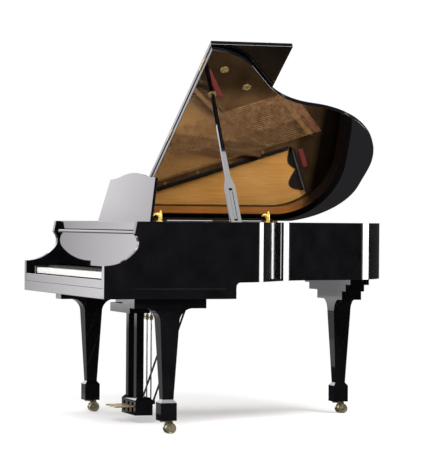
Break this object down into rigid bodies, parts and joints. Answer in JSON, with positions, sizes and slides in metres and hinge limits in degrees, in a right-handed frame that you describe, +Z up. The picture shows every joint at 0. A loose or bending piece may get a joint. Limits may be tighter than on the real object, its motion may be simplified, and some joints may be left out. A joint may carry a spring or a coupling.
{
  "type": "grand piano",
  "caption": "Polished black grand piano with its lid open on a prop, music desk up, brass pedals on a lyre, square tapered legs on brass casters",
  "frame": {"origin": "on the floor under the middle of the box that holds the piano in its open pose", "axes": "+Z is up, -Y is the keyboard side where the player sits, +X is the treble side where the lid opens"},
  "size_m": [1.531, 1.735, 1.8476],
  "materials": {
    "black_lacquer": "polished",
    "maple": "satin",
    "spruce": "satin",
    "bronzed_iron": "satin",
    "brass": "polished",
    "steel": "polished",
    "copper_winding": "satin",
    "red_felt": "matte",
    "white_felt": "matte",
    "ivory_white": "polished",
    "ebony": "satin"
  },
  "bodies": {
    "case": {"outer_rim": "black_lacquer", "inner_rim": "maple", "keybed": "black_lacquer", "case_beams": "maple", "soundboard": "spruce", "bridges": "maple", "pinblock": "maple", "iron_plate": "bronzed_iron", "plate_bolts": "steel", "tuning_pins": "steel", "plain_strings": "steel", "wound_strings": "copper_winding", "string_felts": "red_felt", "keyslip": "black_lacquer", "key_blocks": "black_lacquer", "shelf_runners": "black_lacquer", "case_fittings": "brass", "prop_block": "brass", "leg_treble": "black_lacquer", "leg_bass": "black_lacquer", "leg_tail": "black_lacquer", "lyre": "black_lacquer", "lyre_braces": "brass"},
    "keyboard": {"key_frame": "maple", "hammers": "white_felt"},
    "damper_row": {"dampers": "black_lacquer"},
    "lid": {"main_lid": "black_lacquer", "lid_fittings": "brass"},
    "lid_flap": {"front_lid": "black_lacquer", "flap_hinges": "brass"},
    "lid_stick": {"lid_prop": "black_lacquer"},
    "short_stick": {"half_prop": "black_lacquer"},
    "hook_front": {"lid_hook_front": "brass"},
    "hook_rear": {"lid_hook_rear": "brass"},
    "key_cover": {"fallboard": "black_lacquer"},
    "desk_shelf": {"music_shelf": "black_lacquer"},
    "desk": {"music_desk": "black_lacquer"},
    "desk_stay": {"desk_prop": "black_lacquer"},
    "naturals_1": {"natural_keys_1": "ivory_white"},
    "sharps_1": {"sharp_keys_1": "ebony"},
    "naturals_2": {"natural_keys_2": "ivory_white"},
    "sharps_2": {"sharp_keys_2": "ebony"},
    "naturals_3": {"natural_keys_3": "ivory_white"},
    "sharps_3": {"sharp_keys_3": "ebony"},
    "naturals_4": {"natural_keys_4": "ivory_white"},
    "sharps_4": {"sharp_keys_4": "ebony"},
    "naturals_5": {"natural_keys_5": "ivory_white"},
    "sharps_5": {"sharp_keys_5": "ebony"},
    "foot_left": {"pedal_left": "brass"},
    "rod_left": {"pedal_rod_left": "brass"},
    "foot_middle": {"pedal_middle": "brass"},
    "rod_middle": {"pedal_rod_middle": "brass"},
    "foot_right": {"pedal_right": "brass"},
    "rod_right": {"pedal_rod_right": "brass"},
    "fork_treble": {"caster_fork_treble": "brass"},
    "wheels_treble": {"caster_wheels_treble": "brass"},
    "fork_bass": {"caster_fork_bass": "brass"},
    "wheels_bass": {"caster_wheels_bass": "brass"},
    "fork_tail": {"caster_fork_tail": "brass"},
    "wheels_tail": {"caster_wheels_tail": "brass"}
  },
  "joints": [
    {"name": "lid_open", "type": "hinge", "parent": "case", "child": "lid", "pos_m": [-0.74053, -0.8675, 0.988], "axis": [0, -1, 0], "range_deg": [0, 12]},
    {"name": "flap_fold", "type": "hinge", "parent": "lid", "child": "lid_flap", "pos_m": [-0.11776, -0.2785, 1.41757], "axis": [0.8443, 0, 0.5358], "range_deg": [0, 180]},
    {"name": "stick_fold", "type": "hinge", "parent": "case", "child": "lid_stick", "pos_m": [0.66947, -0.19354, 0.958], "axis": [0.8307, 0, 0.5567], "range_deg": [0, 70]},
    {"name": "short_stick_swing", "type": "hinge", "parent": "lid_stick", "child": "short_stick", "pos_m": [0.6422, -0.1924, 0.99869], "axis": [0.013, 0.9997, -0.0193], "range_deg": [0, 45]},
    {"name": "key_cover_turn", "type": "hinge", "parent": "case", "child": "key_cover", "pos_m": [0.01547, -0.6895, 0.775], "axis": [1, 0, 0], "range_deg": [0, 90]},
    {"name": "shelf_slide", "type": "slide", "parent": "case", "child": "desk_shelf", "axis": [0, 1, 0], "range_m": [0, 0.06]},
    {"name": "desk_fold", "type": "hinge", "parent": "desk_shelf", "child": "desk", "pos_m": [0.01547, -0.5435, 0.966], "axis": [-1, 0, 0], "range_deg": [0, 76]},
    {"name": "stay_fold", "type": "hinge", "parent": "desk", "child": "desk_stay", "pos_m": [0.01547, -0.51855, 1.08338], "axis": [1, 0, 0], "range_deg": [0, 152]},
    {"name": "keyboard_shift", "type": "slide", "parent": "case", "child": "keyboard", "axis": [1, 0, 0], "range_m": [0, 0.0024]},
    {"name": "damper_lift", "type": "slide", "parent": "case", "child": "damper_row", "axis": [0, 0, 1], "range_m": [0, 0.0085]},
    {"name": "hook_front_turn", "type": "hinge", "parent": "case", "child": "hook_front", "pos_m": [0.74747, -0.5985, 0.986], "axis": [0, 0, -1], "range_deg": [0, 90]},
    {"name": "hook_rear_turn", "type": "hinge", "parent": "case", "child": "hook_rear", "pos_m": [0.57315, -0.00741, 0.986], "axis": [0, 0, -1], "range_deg": [0, 90]},
    {"name": "naturals_1_press", "type": "hinge", "parent": "keyboard", "child": "naturals_1", "pos_m": [0.01547, -0.6275, 0.7147], "axis": [1, 0, 0], "range_deg": [0, 2.7], "stiffness_Nm_per_rad": 40, "springref_deg": -2.86},
    {"name": "sharps_1_press", "type": "hinge", "parent": "keyboard", "child": "sharps_1", "pos_m": [0.01547, -0.6275, 0.7147], "axis": [1, 0, 0], "range_deg": [0, 2.7], "stiffness_Nm_per_rad": 40, "springref_deg": -2.86},
    {"name": "naturals_2_press", "type": "hinge", "parent": "keyboard", "child": "naturals_2", "pos_m": [0.01547, -0.6275, 0.7147], "axis": [1, 0, 0], "range_deg": [0, 2.7], "stiffness_Nm_per_rad": 40, "springref_deg": -2.86},
    {"name": "sharps_2_press", "type": "hinge", "parent": "keyboard", "child": "sharps_2", "pos_m": [0.01547, -0.6275, 0.7147], "axis": [1, 0, 0], "range_deg": [0, 2.7], "stiffness_Nm_per_rad": 40, "springref_deg": -2.86},
    {"name": "naturals_3_press", "type": "hinge", "parent": "keyboard", "child": "naturals_3", "pos_m": [0.01547, -0.6275, 0.7147], "axis": [1, 0, 0], "range_deg": [0, 2.7], "stiffness_Nm_per_rad": 40, "springref_deg": -2.86},
    {"name": "sharps_3_press", "type": "hinge", "parent": "keyboard", "child": "sharps_3", "pos_m": [0.01547, -0.6275, 0.7147], "axis": [1, 0, 0], "range_deg": [0, 2.7], "stiffness_Nm_per_rad": 40, "springref_deg": -2.86},
    {"name": "naturals_4_press", "type": "hinge", "parent": "keyboard", "child": "naturals_4", "pos_m": [0.01547, -0.6275, 0.7147], "axis": [1, 0, 0], "range_deg": [0, 2.7], "stiffness_Nm_per_rad": 40, "springref_deg": -2.86},
    {"name": "sharps_4_press", "type": "hinge", "parent": "keyboard", "child": "sharps_4", "pos_m": [0.01547, -0.6275, 0.7147], "axis": [1, 0, 0], "range_deg": [0, 2.7], "stiffness_Nm_per_rad": 40, "springref_deg": -2.86},
    {"name": "naturals_5_press", "type": "hinge", "parent": "keyboard", "child": "naturals_5", "pos_m": [0.01547, -0.6275, 0.7147], "axis": [1, 0, 0], "range_deg": [0, 2.7], "stiffness_Nm_per_rad": 40, "springref_deg": -2.86},
    {"name": "sharps_5_press", "type": "hinge", "parent": "keyboard", "child": "sharps_5", "pos_m": [0.01547, -0.6275, 0.7147], "axis": [1, 0, 0], "range_deg": [0, 2.7], "stiffness_Nm_per_rad": 40, "springref_deg": -2.86},
    {"name": "pedal_left_press", "type": "hinge", "parent": "case", "child": "foot_left", "pos_m": [-0.05453, -0.4915, 0.0815], "axis": [1, 0, 0], "range_deg": [0, 7.5], "stiffness_Nm_per_rad": 40, "springref_deg": -5.73},
    {"name": "rod_left_lift", "type": "slide", "parent": "case", "child": "rod_left", "axis": [0, 0, 1], "range_m": [0, 0.0085]},
    {"name": "pedal_middle_press", "type": "hinge", "parent": "case", "child": "foot_middle", "pos_m": [0.01547, -0.4915, 0.0815], "axis": [1, 0, 0], "range_deg": [0, 7.5], "stiffness_Nm_per_rad": 40, "springref_deg": -5.73},
    {"name": "rod_middle_lift", "type": "slide", "parent": "case", "child": "rod_middle", "axis": [0, 0, 1], "range_m": [0, 0.0085]},
    {"name": "pedal_right_press", "type": "hinge", "parent": "case", "child": "foot_right", "pos_m": [0.08547, -0.4915, 0.0815], "axis": [1, 0, 0], "range_deg": [0, 7.5], "stiffness_Nm_per_rad": 40, "springref_deg": -5.73},
    {"name": "rod_right_lift", "type": "slide", "parent": "case", "child": "rod_right", "axis": [0, 0, 1], "range_m": [0, 0.0085]},
    {"name": "fork_treble_swivel", "type": "hinge", "parent": "case", "child": "fork_treble", "pos_m": [0.67247, -0.5355, 0.062], "axis": [0, 0, 1], "continuous": true},
    {"name": "wheels_treble_roll", "type": "hinge", "parent": "fork_treble", "child": "wheels_treble", "pos_m": [0.67247, -0.5195, 0.026], "axis": [1, 0, 0], "continuous": true},
    {"name": "fork_bass_swivel", "type": "hinge", "parent": "case", "child": "fork_bass", "pos_m": [-0.64153, -0.5355, 0.062], "axis": [0, 0, 1], "continuous": true},
    {"name": "wheels_bass_roll", "type": "hinge", "parent": "fork_bass", "child": "wheels_bass", "pos_m": [-0.64153, -0.5195, 0.026], "axis": [1, 0, 0], "continuous": true},
    {"name": "fork_tail_swivel", "type": "hinge", "parent": "case", "child": "fork_tail", "pos_m": [-0.25153, 0.6875, 0.062], "axis": [0, 0, 1], "continuous": true},
    {"name": "wheels_tail_roll", "type": "hinge", "parent": "fork_tail", "child": "wheels_tail", "pos_m": [-0.25153, 0.7035, 0.026], "axis": [1, 0, 0], "continuous": true}
  ],
  "couplings": [
    {"joint": "stay_fold", "follows": "desk_fold", "ratio": 2},
    {"joint": "rod_middle_lift", "follows": "pedal_middle_press", "m_per_rad": 0.06},
    {"joint": "rod_right_lift", "follows": "pedal_right_press", "m_per_rad": 0.06},
    {"joint": "damper_lift", "follows": "pedal_right_press", "m_per_rad": 0.06},
    {"joint": "pedal_left_press", "follows": "keyboard_shift", "rad_per_m": 54},
    {"joint": "rod_left_lift", "follows": "keyboard_shift", "ratio": 3.24}
  ]
}
